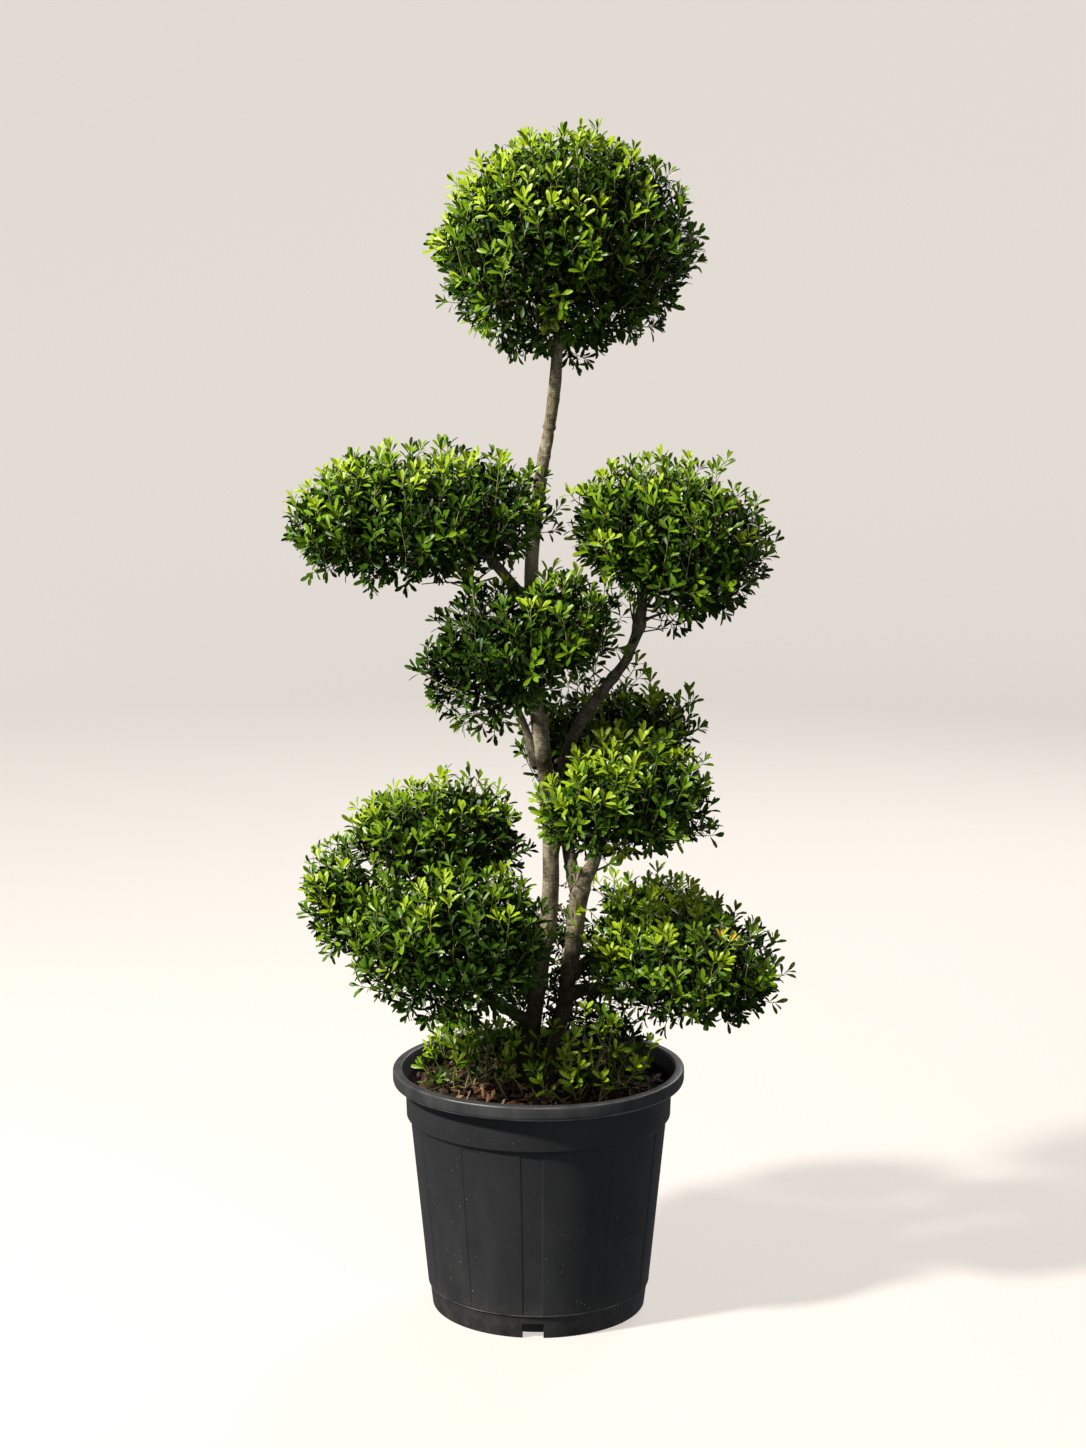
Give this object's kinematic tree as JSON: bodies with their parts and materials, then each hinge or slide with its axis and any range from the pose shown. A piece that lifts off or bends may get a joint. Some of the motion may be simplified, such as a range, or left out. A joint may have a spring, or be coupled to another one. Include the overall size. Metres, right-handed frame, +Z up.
{
  "type": "potted cloud-pruned japanese holly",
  "caption": "Cloud-pruned evergreen holly with rounded pads of small leaves on bare grey stems and a ball of leaves at the top, growing in a round black plastic nursery pot.",
  "frame": {"origin": "centre of the pot's flat underside, on the ground (mount base)", "axes": "+Z up along the plant, -Y towards the plant's face, +X to the right seen from the face"},
  "size_m": [0.664, 0.442, 1.5974],
  "materials": {
    "pot_plastic": "satin moulded polypropylene, dusty and lightly scuffed",
    "potting_soil": "rough moist bark and peat with dry leaf litter",
    "bark": "grey-brown bark with lenticels",
    "leaves": "glossy green leaves"
  },
  "bodies": {
    "root": {"pot": "pot_plastic", "soil": "potting_soil", "trunk": "bark", "stem_second": "bark", "bough_upper_right": "bark", "bough_mid_right": "bark", "bough_back_right": "bark", "bough_center": "bark", "bough_upper_left": "bark", "bough_left_back": "bark", "bough_left_front": "bark", "bough_lower_right": "bark", "bough_lower_right_back": "bark", "foliage_top": "leaves", "foliage_upper_left": "leaves", "foliage_upper_right": "leaves", "foliage_center": "leaves", "foliage_back_right": "leaves", "foliage_mid_right": "leaves", "foliage_left_back": "leaves", "foliage_left_front": "leaves", "foliage_right_front": "leaves", "foliage_right_back": "leaves", "foliage_foot_left": "leaves", "foliage_foot_right": "leaves"}
  },
  "joints": []
}
